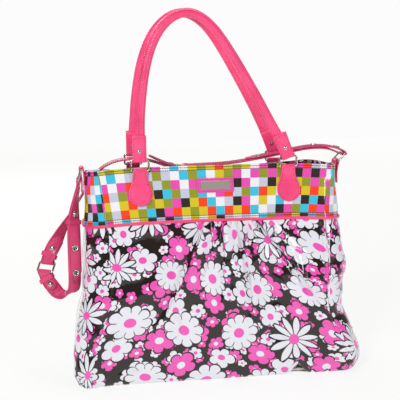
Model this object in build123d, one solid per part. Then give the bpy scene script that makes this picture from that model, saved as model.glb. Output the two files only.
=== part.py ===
from build123d import *
from math import cos, radians, sin
import os

# Diaper tote: a soft sewn bag standing on its base, with two rolled handles on
# hinged rings and one flat shoulder strap. Millimetres. +X right, +Y back, +Z up.
# The origin is the middle of the base, on the surface that the bag stands on.

# --- body of the bag -------------------------------------------------------
WALL = 2.2            # quilted laminated panel
SKIN = 1.0            # lining and facing cloth
SKIN_GAP = 0.2
BAND_Z = 254.0        # seam between the flowered body and the chequered band
TOP_Z = 336.0         # mouth of the bag
FACING_Z = 276.0      # lower edge of the flowered facing inside the mouth
SEAM_X = 168.0        # front and back panels end here, the gussets begin
# height, width, depth and corner radius of the outer shape
LEVELS = [
    (0.0, 430.0, 134.0, 20.0),
    (18.0, 442.0, 146.0, 26.0),
    (76.0, 440.0, 144.0, 36.0),
    (112.0, 428.0, 141.0, 42.0),
    (142.0, 415.0, 133.0, 44.0),
    (BAND_Z, 403.0, 100.0, 36.0),
    (TOP_Z, 395.0, 64.0, 20.0),
]
FAR_X, FAR_Y = 240.0, 90.0     # clear of the outer shape, where it is divided into panels
BASE_CLOTH = 2.4
BOARD = 3.0
LINING_FLOOR = 6.0
PIPING_R = 2.3
BOARD_EDGE = 9.0      # the base board stops this far inside the cloth
POCKET_LOW, POCKET_HIGH, POCKET_W = 120.0, 236.0, 210.0

# --- handles ---------------------------------------------------------------
TAB_X = 115.0         # handle tabs stand this far from the middle
BACK_SHIFT = -6.0     # the back handle and its tabs stand this much to the left
TAB_TOP, TAB_WIDE = 21.0, 37.0
TAB_DROP = 53.0
LEATHER = 2.4
WIRE = 3.2            # ring wire
RING_W, RING_H = 30.0, 20.0
RING_CORNER = 3.0     # to the wire's axis
PIVOT_Z = 331.0       # lower bar of the handle rings
BAR_ROOM = 60.0       # length of the bore that is cut for a bar, past both ends of its fold
FOLD_IN = WIRE / 2 + 0.3
FOLD_OUT = FOLD_IN + 2.0
PIVOT_OUT = FOLD_OUT + 0.3     # lower bar's axis stands this far off the band
TUBE_R, ROPE_R = 7.0, 4.6
LEAN = 7.1            # the handles lean together until they all but touch
END_W, END_T, END_L = 21.0, 5.0, 36.0
# handle outline in its own plane: x, and height over the rings' upper bar
HANDLE_LINE = [
    (-114.0, 26.0), (-111.0, 84.0), (-102.0, 143.0), (-86.0, 187.0),
    (-62.0, 214.0), (-36.0, 222.5), (-11.0, 212.0), (15.0, 184.0),
    (64.0, 100.0), (101.0, 27.0),
]
RIGHT_LEG_TILT = 22.0
RIVET_R = 3.6
RIVET_UP = 13.0       # rivets stand this far up a handle's flat ends
SHANK_R, WASHER_T = 1.6, 1.0
RIVET_CLEAR = 0.8

# --- nameplate and closure ---------------------------------------------------
PATCH = (57.0, 22.0, 1.6)
PLATE = (46.0, 13.0, 1.2)
PLATE_Z = 306.0
MAGNET_R, MAGNET_T, MAGNET_Z = 9.0, 2.6, 318.0

# --- shoulder strap ----------------------------------------------------------
STRAP_W, STRAP_T = 22.0, 2.2
STRAP_RING_W = 30.0
SIDE_TAB_W = 20.0
LEFT_TAB = (-203.4, -8.0, 333.0)       # fold of the left side tab
LEFT_BAR = (-208.0, -8.0, 316.9)       # lower bar of the left side ring
RIGHT_TAB = (203.4, 2.0, 333.0)
RIGHT_BAR = (214.8, 2.0, 345.3)
LINK_LOW = (-266.0, 0.0, 170.0)        # lower bar of the link ring in the hanging loop
LINK_YAW, LINK_LEAN = 28.0, 40.0       # its bars turn to the front, and it leans back
TOP_LINK_LEFT = (-60.0, 6.0, 331.0)    # bars of the link ring over the mouth
TOP_LINK_RIGHT = (-43.3, 6.0, 330.0)
SOCKET_R, CAP_R, SNAP_T = 5.4, 4.6, 1.6
KEEPER_L = 7.0

PARTS = {}


def keep(name, shape):
    """Names a finished piece, drops slivers and stores it."""
    solids = [s for s in shape.solids() if s.volume > 0.5]
    piece = solids[0] if len(solids) == 1 else Compound(children=solids)
    piece.label = name
    PARTS[name] = piece
    return piece


def level_at(z):
    """Width, depth and corner radius of the outer shape at a height."""
    for low, high in zip(LEVELS, LEVELS[1:]):
        if z <= high[0]:
            t = (z - low[0]) / (high[0] - low[0])
            return [a + (b - a) * t for a, b in zip(low[1:], high[1:])]
    return LEVELS[-1][1:]


def body(inset, z_low=0.0, z_high=TOP_Z):
    """The outer shape moved in by inset, between two heights."""
    heights = [z_low] + [v[0] for v in LEVELS if z_low < v[0] < z_high] + [z_high]
    sections = []
    for z in heights:
        w, d, r = level_at(z)
        plane = Plane.XY.offset(z)
        sections.append(plane * RectangleRounded(w - 2 * inset, d - 2 * inset, r - inset))
    return loft(sections, ruled=True)


def block(x0, x1, y0, y1, z0, z1):
    """A box given by its corners, used to divide the shell into panels."""
    return Pos((x0 + x1) / 2, (y0 + y1) / 2, (z0 + z1) / 2) * Box(x1 - x0, y1 - y0, z1 - z0)


def hollow(inset, z_low, z_high):
    """The shape moved in by inset, a little longer at both ends, for cutting."""
    w0, d0, r0 = level_at(z_low)
    w1, d1, r1 = level_at(z_high)
    low = Plane.XY.offset(z_low - 2) * RectangleRounded(w0 - 2 * inset, d0 - 2 * inset, r0 - inset)
    high = Plane.XY.offset(z_high) * RectangleRounded(w1 - 2 * inset, d1 - 2 * inset, r1 - inset)
    return extrude(low, 2) + body(inset, z_low, z_high) + extrude(high, 2)


def shell(inset, thickness, z_low, z_high):
    """A ring of cloth between two insets and two heights."""
    return body(inset, z_low, z_high) - hollow(inset + thickness, z_low, z_high)


def front_y(z, out=0.0):
    """Y of the flat front face at a height, moved out of the bag by out."""
    return -level_at(z)[1] / 2 - out


def face_tilt():
    """Lean of the band's front face, in degrees from upright."""
    rise = TOP_Z - BAND_Z
    run = front_y(TOP_Z) - front_y(BAND_Z)
    return Vector(0, run, rise).get_angle(Vector(0, 0, 1))


def on_face(x, z, side):
    """A plane on the band's front (side -1) or back (side 1) face, normal outwards."""
    tilt = radians(face_tilt())
    normal = (0, side * cos(tilt), sin(tilt))
    return Plane(origin=(x, -side * front_y(z), z), x_dir=(-side, 0, 0), z_dir=normal)


# --- soft body -----------------------------------------------------------------

def strap_dip():
    """The fold in the back left corner of the mouth that the strap lies in."""
    outline = Polyline((-230, 262), (-196, 276), (-168, 322), (-160, 345), (-230, 345), close=True)
    return Pos(0, 56, 0) * extrude(Plane.XZ * make_face(outline), 50)


def make_body():
    cloth = shell(0, WALL, BASE_CLOTH, BAND_Z)
    keep("front_panel", cloth & block(-SEAM_X, SEAM_X, -FAR_Y, 0, 0, BAND_Z))
    keep("back_panel", cloth & block(-SEAM_X, SEAM_X, 0, FAR_Y, 0, BAND_Z))
    keep("left_gusset", cloth & block(-FAR_X, -SEAM_X, -FAR_Y, FAR_Y, 0, BAND_Z))
    keep("right_gusset", cloth & block(SEAM_X, FAR_X, -FAR_Y, FAR_Y, 0, BAND_Z))
    keep("base_panel", body(0, 0, BASE_CLOTH))
    band = shell(0, WALL, BAND_Z, TOP_Z) - strap_dip()
    keep("front_band", band & block(-FAR_X, FAR_X, -FAR_Y, 0, 0, TOP_Z))
    keep("back_band", band & block(-FAR_X, FAR_X, 0, FAR_Y, 0, TOP_Z))


def make_lining():
    inset = WALL + SKIN_GAP
    keep("top_facing", shell(inset, SKIN, FACING_Z, TOP_Z) - strap_dip())
    floor_z = LINING_FLOOR
    sack = shell(inset, SKIN, floor_z, FACING_Z) - strap_dip()
    keep("lining", sack + body(inset, floor_z, floor_z + SKIN))
    w, d, r = level_at(floor_z)
    board = RectangleRounded(w - 2 * BOARD_EDGE, d - 2 * BOARD_EDGE, r - BOARD_EDGE)
    keep("base_board", extrude(Plane.XY.offset(BASE_CLOTH + 0.2) * board, BOARD))
    pocket = shell(inset + SKIN + SKIN_GAP, SKIN, POCKET_LOW, POCKET_HIGH)
    half = POCKET_W / 2
    keep("inner_pocket", pocket & block(-half, half, 0, FAR_Y, POCKET_LOW, POCKET_HIGH))


def make_piping():
    w, d, r = level_at(BAND_Z)
    plane = Plane.XY.offset(BAND_Z)
    path = (plane * RectangleRounded(w + 1, d + 1, r + 0.5)).wire()
    start = path @ 0
    ring = sweep(Plane(origin=start, z_dir=path % 0) * Circle(PIPING_R), path=path)
    keep("band_piping", ring - body(0, BAND_Z - 8, BAND_Z + 8))


# --- fittings --------------------------------------------------------------------

def wire_ring(width, height):
    """A rounded rectangular wire ring in the XZ plane, lower bar's axis at the origin."""
    w, h = width - WIRE, height - WIRE
    path = (Plane.XZ * Pos(0, h / 2) * RectangleRounded(w, h, RING_CORNER)).wire()
    return sweep(Plane(origin=path @ 0, z_dir=path % 0) * Circle(WIRE / 2), path=path)


def fold(width):
    """Leather folded round a bar that lies along X at the origin."""
    return extrude(Plane.YZ * (Circle(FOLD_OUT) - Circle(FOLD_IN)), width / 2, both=True)


def keystone():
    """Outline of a handle tab: narrow at the top, wide and round below."""
    half, wide = TAB_TOP / 2, TAB_WIDE / 2
    low = TAB_DROP - wide
    left = Spline((-half, 0), (-half - 1.6, -12), (-wide, -low), tangents=((0, -1), (0, -1)))
    right = Spline((wide, -low), (half + 1.6, -12), (half, 0), tangents=((0, 1), (0, 1)))
    bottom = ThreePointArc((-wide, -low), (0, -TAB_DROP), (wide, -low))
    return make_face(left + bottom + right + Line((half, 0), (-half, 0)))


def tab_x(side, end):
    """X of a handle tab's middle on the front (-1) or back (1), left (-1) or right (1)."""
    return end * TAB_X + (BACK_SHIFT if side > 0 else 0.0)


def make_tabs():
    for side, face in ((-1, "front"), (1, "back")):
        for end, hand in ((-1, "left"), (1, "right")):
            x = tab_x(side, end)
            plane = on_face(x, PIVOT_Z, side)
            plate = plane * extrude(keystone(), LEATHER)
            y_bar = -side * front_y(PIVOT_Z, PIVOT_OUT)
            loop = Pos(x, y_bar, PIVOT_Z) * fold(TAB_TOP)
            room = Pos(x, y_bar, PIVOT_Z) * Rot(0, 90, 0) * Cylinder(FOLD_IN, BAR_ROOM)
            keep(f"{face}_{hand}_tab", plate + loop - room)


def handle_frame(side):
    """Local frame of a handle: origin on the rings' lower bar, leaning inwards."""
    x = (tab_x(side, -1) + tab_x(side, 1)) / 2
    y_bar = -side * front_y(PIVOT_Z, PIVOT_OUT)
    return Pos(x, y_bar, PIVOT_Z) * Rot(side * LEAN, 0, 0)


def leg_end(x, tilt):
    """The flat end of a handle, folded round the ring's upper bar at the origin."""
    flat = Pos(0, 0, END_L / 2 + FOLD_OUT - 1) * Box(END_W, END_T, END_L)
    plate = Rot(0, -tilt, 0) * fillet(flat.edges().filter_by(Axis.Y), 2.0)
    room = Rot(0, 90, 0) * Cylinder(FOLD_IN, BAR_ROOM)
    return Pos(x, 0, 0) * (plate + fold(END_W) - room)


def handle_path():
    points = [Vector(x, 0, z) for x, z in HANDLE_LINE]
    radii = []
    for a, b, c in zip(points, points[1:], points[2:]):
        turn = radians((b - a).get_angle(c - b))
        shorter = min((b - a).length, (c - b).length)
        radii.append(0.45 * shorter / (sin(turn / 2) / cos(turn / 2)))
    return FilletPolyline(*points, radius=radii)


def handle_rivets():
    """Domed rivets through both ends, with a flat washer behind."""
    rivets = []
    low = (Align.CENTER, Align.CENTER, Align.MIN)
    box = 3 * RIVET_R
    for x, tilt in ((-TAB_X, 0.0), (TAB_X, RIGHT_LEG_TILT)):
        dome = scale(Sphere(RIVET_R) & block(-box, box, -box, box, 0, box), (1, 1, 0.6))
        shank = Pos(0, 0, -END_T - RIVET_CLEAR) * Cylinder(SHANK_R, END_T + 2 * RIVET_CLEAR, align=low)
        washer = Pos(0, 0, -END_T - WASHER_T) * Cylinder(RIVET_R, WASHER_T, align=low)
        rivet = Pos(0, -END_T / 2, 0) * Rot(90, 0, 0) * (dome + shank + washer)
        rivets.append(Pos(x, 0, 0) * Rot(0, -tilt, 0) * Pos(0, 0, RIVET_UP) * rivet)
    return rivets


def make_handles():
    gap = RING_H - WIRE
    for side, face in ((-1, "front"), (1, "back")):
        frame = handle_frame(side)
        for end, hand in ((-1, "left"), (1, "right")):
            keep(f"{face}_{hand}_ring", frame * Pos(end * TAB_X, 0, 0) * wire_ring(RING_W, RING_H))
        path = handle_path()
        start = Plane(origin=path @ 0, z_dir=path % 0)
        rope = sweep(start * Circle(ROPE_R), path=path)
        cover = sweep(start * Circle(TUBE_R), path=path)
        ends = leg_end(-TAB_X, 0.0) + leg_end(TAB_X, RIGHT_LEG_TILT)
        rivets = handle_rivets()
        if side > 0:
            rivets = [mirror(r, about=Plane.XZ) for r in rivets]
        rivet_set = rivets[0] + rivets[1]
        cover = cover + ends - rope - rivet_set
        up = frame * Pos(0, 0, gap)
        keep(f"{face}_handle_rope", up * (rope - rivet_set))
        keep(f"{face}_handle_cover", up * cover)
        keep(f"{face}_handle_rivets", up * rivet_set)


def make_nameplate():
    plane = on_face(0, PLATE_Z, -1)
    patch = extrude(RectangleRounded(PATCH[0], PATCH[1], 1.5), PATCH[2])
    plate = Pos(0, 0, PATCH[2]) * extrude(RectangleRounded(PLATE[0], PLATE[1], 1.0), PLATE[2])
    keep("nameplate_patch", plane * patch)
    keep("nameplate", plane * chamfer(plate.faces().sort_by(Axis.Z)[-1].edges(), 0.4))


def make_magnets():
    depth = WALL + SKIN_GAP + SKIN
    for side, name in ((-1, "magnet_socket"), (1, "magnet_stud")):
        plane = on_face(0, MAGNET_Z, side)
        disc = Pos(0, 0, -depth - MAGNET_T) * extrude(Circle(MAGNET_R), MAGNET_T)
        if side > 0:
            disc += Pos(0, 0, -depth - MAGNET_T - 2) * extrude(Circle(3), 2)
        else:
            disc -= Pos(0, 0, -depth - MAGNET_T) * extrude(Circle(3.2), 2.2)
        keep(name, plane * disc)


# --- shoulder strap ------------------------------------------------------------------

def frames(stations):
    """Point, direction along and direction across the strap at each station."""
    points = [Vector(*p) for p, _ in stations]
    result = []
    for i, (_, across) in enumerate(stations):
        before, after = points[max(i - 1, 0)], points[min(i + 1, len(points) - 1)]
        along = (after - before).normalized()
        across = Vector(*across)
        across = (across - along * across.dot(along)).normalized()
        result.append((points[i], along, across))
    return result


def ribbon(stations, thickness):
    """A flat strip of strap lofted through its stations."""
    sections = []
    for point, along, across in frames(stations):
        plane = Plane(origin=point, x_dir=across, z_dir=along)
        sections.append(plane * Rectangle(STRAP_W, thickness))
    return loft(sections, ruled=True)


def frame_at(stations, distance):
    """A plane across the strap at a distance from its first station."""
    run = frames(stations)
    for (p, along_p, across_p), (q, along_q, across_q) in zip(run, run[1:]):
        length = (q - p).length
        if distance <= length:
            t = distance / length
            along = (along_p * (1 - t) + along_q * t).normalized()
            across = across_p * (1 - t) + across_q * t
            across = (across - along * across.dot(along)).normalized()
            return Plane(origin=p + (q - p) * t, x_dir=across, z_dir=along)
        distance -= length
    raise ValueError("that distance is past the end of the strap")


def link_ring(low, high, axis):
    """A strap ring whose two bars run along axis through the points low and high."""
    up = Vector(*high) - Vector(*low)
    plane = Plane(origin=low, x_dir=axis, z_dir=Vector(*axis).cross(up.normalized()))
    outline = RectangleRounded(STRAP_RING_W - WIRE, up.length, RING_CORNER)
    path = (plane * Pos(0, up.length / 2) * outline).wire()
    return sweep(Plane(origin=path @ 0, z_dir=path % 0) * Circle(WIRE / 2), path=path)


def bar_fold(bar, axis, width):
    """Leather folded round a ring's bar."""
    return Plane(origin=bar, z_dir=axis) * extrude(Circle(FOLD_OUT) - Circle(FOLD_IN), width / 2, both=True)


def bar_room(bar, axis):
    return Plane(origin=bar, z_dir=axis) * Cylinder(FOLD_IN, BAR_ROOM)


def keeper(stations, distance, layers=2):
    """A narrow leather loop round the strap's layers."""
    outer = RectangleRounded(STRAP_W + 4.4, layers * STRAP_T + 4.0, 1.8)
    inner = Rectangle(STRAP_W + 0.6, layers * STRAP_T + 0.6)
    return frame_at(stations, distance) * extrude(outer - inner, KEEPER_L / 2, both=True)


def snap(stations, distance, hollow, layers=2):
    """A snap fastener on the strap's outer face, hollow as a socket or closed as a cap."""
    radius = SOCKET_R if hollow else CAP_R
    disc = extrude(Circle(radius), SNAP_T)
    if hollow:
        disc -= Pos(0, 0, 0.6) * extrude(Circle(radius * 0.45), SNAP_T)
    stand = Pos(0, layers * STRAP_T / 2, 0) * Rot(-90, 0, 0)
    return frame_at(stations, distance) * stand * disc


def all_of(shapes):
    total = shapes[0]
    for shape in shapes[1:]:
        total += shape
    return total


Y = (0.0, 1.0, 0.0)
FRONTWARD = (0.0, -1.0, 0.0)
FACE = (0.86, 0.5, 0.0)          # across the strap where it has turned to the front
LINK = (cos(radians(LINK_YAW)), -sin(radians(LINK_YAW)), 0.0)
LINK_BACK = (-LINK[0], -LINK[1], 0.0)
LINK_UP = Vector(-LINK[1], LINK[0], 0) * sin(radians(LINK_LEAN)) + Vector(0, 0, cos(radians(LINK_LEAN)))
LINK_HIGH = tuple(Vector(*LINK_LOW) + LINK_UP * (RING_H - WIRE))

# Stations of the strap: a point on its middle line, and the direction across it.
LEFT_DOUBLE = [
    ((-208.2, -8, 314.4), Y), ((-213, -12, 289), (0.25, 0.97, 0)), ((-217, -18, 264), (0.62, 0.78, 0)),
    ((-218, -25, 238), FACE), ((-218, -28, 200), FACE), ((-218, -28, 158), FACE),
]
LEFT_SINGLE = [
    ((-218, -28, 166), FACE), ((-219, -28, 156), FACE), ((-224, -26, 144), (0.75, 0.6, -0.25)),
    ((-233, -21, 136.5), (0.4, 0.85, 0.3)), ((-243, -14, 136), (0.5, 0.75, 0.4)),
    ((-250, -9, 141.5), (0.75, 0.3, 0.45)), ((-256, -5, 149), (0.8, 0.0, 0.4)),
]
LEFT_END = [((-265.9, 0, 167.5), LINK), ((-262, -2, 157), LINK), ((-251, -8.4, 142.6), (0.8, 0.2, 0.4))]
LOWER_END = [
    ((-260.8, 10, 185.2), LINK_BACK), ((-257, 13, 197), LINK_BACK), ((-248, 15.2, 212), (-0.85, -0.1, 0.4)),
    ((-241, 16.5, 225), (-0.8, -0.4, 0.4)),
]
LOWER_RUN = [
    ((-245, 15.8, 217.5), (0.8, 0.4, -0.4)), ((-236, 18, 234), (0.6, 0.75, -0.3)),
    ((-220, 20, 259.5), (0.3, 0.95, -0.1)), ((-207.6, 20.5, 280), Y),
]
UPPER_RUN = [
    ((-206.8, 20.5, 281.4), Y), ((-198, 20, 296), Y), ((-186, 18, 315), Y), ((-171, 13.5, 332), Y),
    ((-150, 9, 342), Y), ((-124, 6.5, 345), Y), ((-98, 6, 342), Y), ((-78, 6, 334.5), Y),
    ((-68, 6, 330.4), Y), ((-60.3, 6, 328.2), Y),
]
UPPER_END = [((-60.5, 6, 333.9), Y), ((-70, 6, 336.4), Y), ((-82, 6, 341), Y), ((-98, 6, 349), Y)]
RIGHT_END = [((-41.3, 6, 330.1), FRONTWARD), ((-24, 5.5, 330.9), FRONTWARD), ((-8, 5, 331.7), FRONTWARD)]
RIGHT_RUN = [
    ((-12, 5, 331.5), FRONTWARD), ((22, 4.5, 333), FRONTWARD), ((55, 4.5, 337), FRONTWARD),
    ((90, 4.5, 342.5), FRONTWARD), ((129, 4.5, 350), FRONTWARD), ((160, 4, 355), FRONTWARD),
    ((186, 3, 354.2), FRONTWARD), ((203, 2, 347.8), FRONTWARD), ((213.6, 2, 342.7), FRONTWARD),
]
RIGHT_FOLD_BACK = [
    ((216, 2, 347.9), FRONTWARD), ((204, 2, 353.8), FRONTWARD), ((186, 3, 357.6), FRONTWARD),
    ((160, 4, 357.6), FRONTWARD), ((129, 4.5, 352.5), FRONTWARD), ((90, 4.5, 345), FRONTWARD),
    ((56, 4.5, 339.6), FRONTWARD),
]
SNAP_AT = (14.0, 52.0, 104.0, 143.0)     # from the side ring, along the fold-back


def make_side_ends():
    for name, fold_at, end in (("left_side", LEFT_TAB, -1), ("right_side", RIGHT_TAB, 1)):
        x_top, x_low = (end * level_at(z)[0] / 2 for z in (331, 302))
        corners = [(x_top, 331), (x_low, 302), (x_low + end * 2.4, 302), (x_top + end * 2.4, 331)]
        plate = extrude(Plane.XZ * make_face(Polyline(*corners, close=True)), SIDE_TAB_W / 2, both=True)
        tab = Pos(0, fold_at[1], 0) * plate + bar_fold(fold_at, Y, SIDE_TAB_W) - bar_room(fold_at, Y)
        keep(f"{name}_tab", tab - body(-0.05, 296, TOP_Z))
    keep("left_side_ring", link_ring(LEFT_BAR, LEFT_TAB, Y))
    keep("right_side_ring", link_ring(RIGHT_TAB, RIGHT_BAR, Y))


def make_hanging_loop():
    """The part of the strap that hangs from the left side ring, and what is on it."""
    low_ring = link_ring(LINK_LOW, LINK_HIGH, LINK)
    keeper_left = keeper(LEFT_DOUBLE, 64)
    keeper_low = keeper(LEFT_END, 9) - low_ring
    keeper_high = keeper(LOWER_END, 9) - low_ring
    sockets = all_of([snap(LEFT_DOUBLE, d, True) for d in SNAP_AT])
    caps = snap(LEFT_END, 20, False) + snap(LOWER_END, 21, False)
    left = ribbon(LEFT_DOUBLE, 2 * STRAP_T) + ribbon(LEFT_SINGLE, STRAP_T) + ribbon(LEFT_END, 2 * STRAP_T)
    left += bar_fold(LEFT_BAR, Y, STRAP_W) + bar_fold(LINK_LOW, LINK, STRAP_W)
    left = left - bar_room(LEFT_BAR, Y) - bar_room(LINK_LOW, LINK)
    keep("strap_left", left - sockets - caps - keeper_left - keeper_low)
    lower = ribbon(LOWER_END, 2 * STRAP_T) + ribbon(LOWER_RUN, STRAP_T) + bar_fold(LINK_HIGH, LINK, STRAP_W)
    keep("strap_middle_lower", lower - bar_room(LINK_HIGH, LINK) - caps - keeper_high)
    keep("left_link_ring", low_ring)
    keep("strap_left_keeper", keeper_left)
    keep("left_link_keeper", keeper_low)
    keep("lower_link_keeper", keeper_high)
    keep("strap_left_snaps", sockets)
    keep("link_snap_caps", caps)


def make_strap_over_mouth():
    """The part of the strap that lies over the mouth, out to the right side ring."""
    upper = ribbon(UPPER_RUN, STRAP_T) + ribbon(UPPER_END, STRAP_T) + bar_fold(TOP_LINK_LEFT, Y, STRAP_W)
    keep("strap_middle_upper", upper - bar_room(TOP_LINK_LEFT, Y))
    keep("top_link_ring", link_ring(TOP_LINK_LEFT, TOP_LINK_RIGHT, Y))
    sockets = all_of([snap(RIGHT_FOLD_BACK, d, True, layers=1) for d in SNAP_AT])
    right = ribbon(RIGHT_END, 2 * STRAP_T) + ribbon(RIGHT_RUN, STRAP_T) + ribbon(RIGHT_FOLD_BACK, STRAP_T)
    right += bar_fold(RIGHT_BAR, Y, STRAP_W) + bar_fold(TOP_LINK_RIGHT, Y, STRAP_W)
    right = right - bar_room(RIGHT_BAR, Y) - bar_room(TOP_LINK_RIGHT, Y)
    keep("strap_right", right - sockets)
    keep("strap_right_snaps", sockets)


def build():
    make_body()
    make_lining()
    make_piping()
    make_tabs()
    make_handles()
    make_nameplate()
    make_magnets()
    make_side_ends()
    make_hanging_loop()
    make_strap_over_mouth()


build()
os.makedirs("parts", exist_ok=True)
for label, piece in PARTS.items():
    export_step(piece, f"parts/{label}.step")
    size = piece.bounding_box().size
    print(f"{label}: {piece.volume:.0f} mm3, {size.X:.0f} x {size.Y:.0f} x {size.Z:.0f}")
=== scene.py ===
from math import cos, pi, radians, sin

import bpy
import numpy as np
from mathutils import Matrix, Vector


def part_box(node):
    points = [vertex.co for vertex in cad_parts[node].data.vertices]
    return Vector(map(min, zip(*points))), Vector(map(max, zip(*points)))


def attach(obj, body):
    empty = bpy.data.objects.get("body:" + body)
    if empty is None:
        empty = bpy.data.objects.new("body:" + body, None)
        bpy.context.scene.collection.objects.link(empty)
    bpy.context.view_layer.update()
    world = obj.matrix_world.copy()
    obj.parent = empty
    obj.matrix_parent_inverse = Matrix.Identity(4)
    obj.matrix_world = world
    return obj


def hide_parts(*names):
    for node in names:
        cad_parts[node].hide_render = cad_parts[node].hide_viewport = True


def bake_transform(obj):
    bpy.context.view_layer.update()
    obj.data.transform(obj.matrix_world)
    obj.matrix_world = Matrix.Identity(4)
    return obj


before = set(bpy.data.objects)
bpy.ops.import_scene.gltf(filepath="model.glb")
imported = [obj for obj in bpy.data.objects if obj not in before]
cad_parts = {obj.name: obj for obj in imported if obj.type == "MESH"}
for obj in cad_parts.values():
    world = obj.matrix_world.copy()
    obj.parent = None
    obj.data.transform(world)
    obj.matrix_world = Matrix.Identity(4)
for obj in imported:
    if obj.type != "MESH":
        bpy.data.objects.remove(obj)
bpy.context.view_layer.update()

# Looks of the diaper tote. Shapes are worked out in millimetres, +X right, +Y back,
# +Z up, and new_piece() turns them into metres.
MM = 0.001


def box(node):
    """Low and high corners of a CAD node, in millimetres."""
    return [np.array(corner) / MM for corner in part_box(node)]


# --- sizes, as in the CAD frame ---
BAND_Z, TOP_Z = (corner[2] for corner in box("front_band"))
TAB_X = 115.0
PIVOT_Z = 331.0
RING_REACH = 16.8     # from a ring's lower bar to its upper bar
BAR_FOLD = 2.9        # middle of the leather that is folded round a ring's bar
LEAN = radians(7.1)
RIGHT_TILT = radians(22.0)
STRAP_W, STRAP_T = 22.0, 2.1
STRAP_SEAM = 2.4      # from the strap's edge to its stitches
TIP, TIP_W = 9.0, 10.0        # length of a cut end, and the width it comes down to
PLY_GAP = 2.3         # between the middles of the two plies of a doubled strap
TAB_SEAM = 2.6        # from a tab's edge to its stitches
HANDLE_SEAM = 8.4     # from the middle of a handle's flat end to its stitches
HANDLE_LIFT = 1.15    # from the middle of its leather to the stitches' bed
HEM_R = 5.5           # rounding of the cloth where it turns in under the bag
TUCK = 1.5            # cloth hidden in a gather, as a share of the gather's depth
WIRE_R = 1.6          # half the thickness of the rings' wire
MAGNET_Z = 318.0
SNAP_REACH = 9.0      # from a snap's middle: past its rim and short of the next snap
SQUARE_H = (TOP_Z - BAND_Z) / 6      # with half a square at the top and the bottom edge
COLUMNS_ROUND = 76    # squares round the band
FACE_STEPS, CORNER_STEPS, SIDE_STEPS = 230, 14, 20    # columns of the cloth grid

# height, width, depth and corner radius of the cloth body
PROFILE = np.array([
    (0, 430, 135, 20),
    (18, 442, 146, 26),
    (76, 440, 144, 36),
    (112, 428, 141, 42),
    (142, 415, 133, 44),
    (BAND_Z, 403, 100, 36),
    (TOP_Z, 395, 64, 20),
])
BAND_SLOPE = (PROFILE[-2, 2] - PROFILE[-1, 2]) / 2 / (TOP_Z - BAND_Z)    # lean of the band's faces

# --- colours, as sRGB ---
PINK = "FF4F88"
PINK_DARK = "E83A70"
MAGENTA = "E04FA5"
THREAD = "3A1020"
FLOWER_WHITE = "E7E7EF"
FLOWER_PINK = "F257B8"
GROUND = "150B07"
SQUARES_EVEN = ("F5F5F8", "979A1E", "FF3E0A", "18100C")
SQUARES_ODD = ("C9D0E4", "DCC81C", "34C6E8", "F04AB6")


def colour(code):
    """Linear RGBA of an sRGB code."""
    parts = [int(code[i:i + 2], 16) / 255 for i in (0, 2, 4)]
    linear = [p / 12.92 if p <= 0.04045 else ((p + 0.055) / 1.055) ** 2.4 for p in parts]
    return (*linear, 1.0)


# --- small mathematics ---

def unit(v):
    return v / np.maximum(np.linalg.norm(v, axis=-1, keepdims=True), 1e-9)


def ease(x, low, high):
    """0 below low, 1 above high and smooth between."""
    t = np.clip((np.asarray(x, float) - low) / (high - low), 0, 1)
    return t * t * (3 - 2 * t)


def bell(x, middle, width):
    return np.exp(-((x - middle) / width) ** 2)


def soft_interp(x, table, blur=8.0):
    """Linear interpolation in a table of (x, value), rounded at its points."""
    xs, ys = zip(*table)
    steps = (-1.5, -0.75, 0.0, 0.75, 1.5)
    return sum(np.interp(x + blur * s, xs, ys) for s in steps) / len(steps)


def ripple(u, v, seed, wavelength, waves=7):
    """A smooth seeded height field of about unit size."""
    rng = np.random.default_rng(seed)
    total = np.zeros(np.broadcast(u, v).shape)
    for _ in range(waves):
        angle, phase = rng.uniform(0, 2 * pi, 2)
        k = 2 * pi / (wavelength * rng.uniform(0.7, 1.5))
        total += np.sin(k * (u * cos(angle) + v * sin(angle)) + phase)
    return total / np.sqrt(waves)


def round_corners(points, times=4):
    """The smooth curve that a run of points controls, its ends kept."""
    points = np.asarray(points, float)
    for _ in range(times):
        a, b = points[:-1], points[1:]
        cut = np.stack([0.75 * a + 0.25 * b, 0.25 * a + 0.75 * b], axis=1)
        points = np.vstack([points[:1], cut.reshape(-1, points.shape[1])[1:-1], points[-1:]])
    return points


def directions(path):
    return unit(np.gradient(path, axis=0))


def ribbon_axes(path, across):
    """Unit directions across a path and out of its face, square to it."""
    along = directions(path)
    across = unit(across - along * np.sum(across * along, axis=1, keepdims=True))
    return across, np.cross(along, across)


def alike(direction, points):
    """The same direction for every point."""
    return np.broadcast_to(np.array(direction, float), points.shape)


def lengths_along(path):
    return np.r_[0, np.cumsum(np.linalg.norm(np.diff(path, axis=0), axis=1))]


# --- meshes ---

def new_piece(name, verts, faces, uvs=None):
    """A smooth-shaded object from points in millimetres, with a cloth UV in metres."""
    mesh = bpy.data.meshes.new(name)
    mesh.from_pydata((np.asarray(verts) * MM).tolist(), [], [tuple(map(int, f)) for f in faces])
    if uvs is not None:
        layer = mesh.uv_layers.new(name="cloth")
        corners = np.zeros(len(mesh.loops), np.int32)
        mesh.loops.foreach_get("vertex_index", corners)
        layer.data.foreach_set("uv", (np.asarray(uvs)[corners] * MM).astype(np.float32).ravel())
    mesh.shade_smooth()
    obj = bpy.data.objects.new(name, mesh)
    bpy.context.scene.collection.objects.link(obj)
    return obj


def dress(obj, body, look, *nodes):
    """Gives a piece its look and the body it rides on, and hides the CAD nodes it stands for."""
    material, slot = LOOKS[look]
    obj.data.materials.append(material)
    if body:
        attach(obj, body)
    if nodes:
        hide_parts(*nodes)


def add(name, shape, body, look, *nodes):
    """A new piece from verts and faces, dressed."""
    dress(new_piece(name, *shape), body, look, *nodes)


def sew(name, lines, body, *sizes):
    """A piece of stitches along (line, normal) pairs."""
    add(name + "_stitches", stitches(lines, *sizes), body, "thread")


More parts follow.
